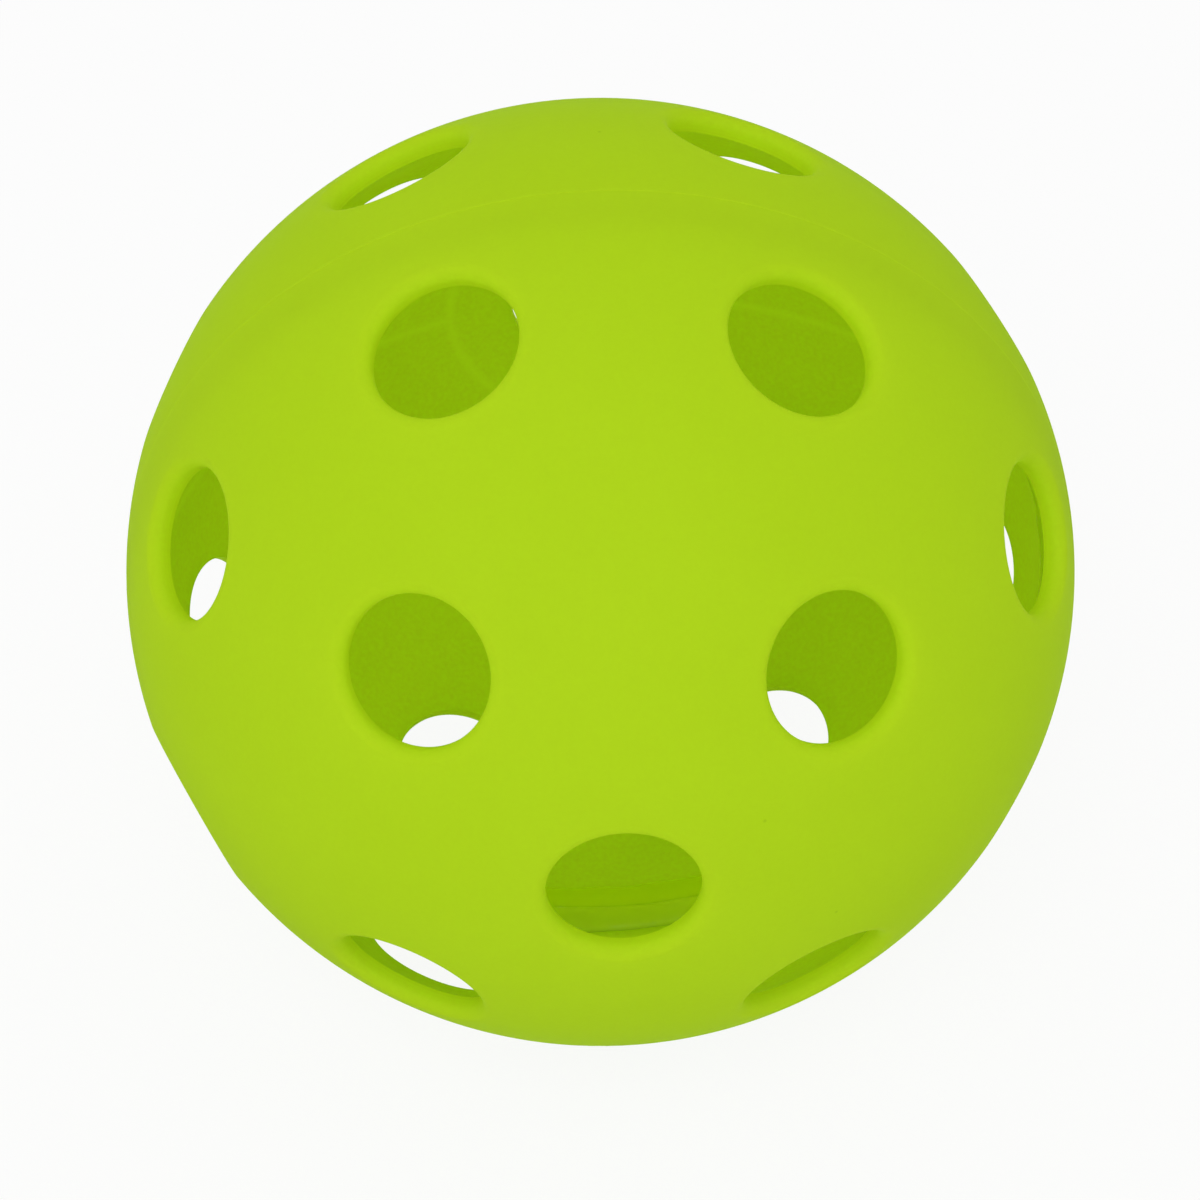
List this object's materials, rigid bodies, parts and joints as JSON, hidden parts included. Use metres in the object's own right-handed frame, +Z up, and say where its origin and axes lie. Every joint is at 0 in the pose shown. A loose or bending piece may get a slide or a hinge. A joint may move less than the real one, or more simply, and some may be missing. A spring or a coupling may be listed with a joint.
{
  "type": "pickleball",
  "caption": "Hollow green plastic ball for paddle play, pierced by round holes with softened edges and welded from two half shells.",
  "frame": {"origin": "centre of the ball", "axes": "+Y along the axis through both pole holes, from the front half to the rear half; the weld lies in the plane Y = 0; +Z up"},
  "size_m": [0.074, 0.0728, 0.074],
  "materials": {
    "shell_plastic": "satin moulded polyethylene, yellow-green all through",
    "weld_plastic": "re-set melt of the same polyethylene, smoother and a little glossier"
  },
  "bodies": {
    "root": {"front_half_shell": "shell_plastic", "rear_half_shell": "shell_plastic", "weld_bead": "weld_plastic"}
  },
  "joints": []
}
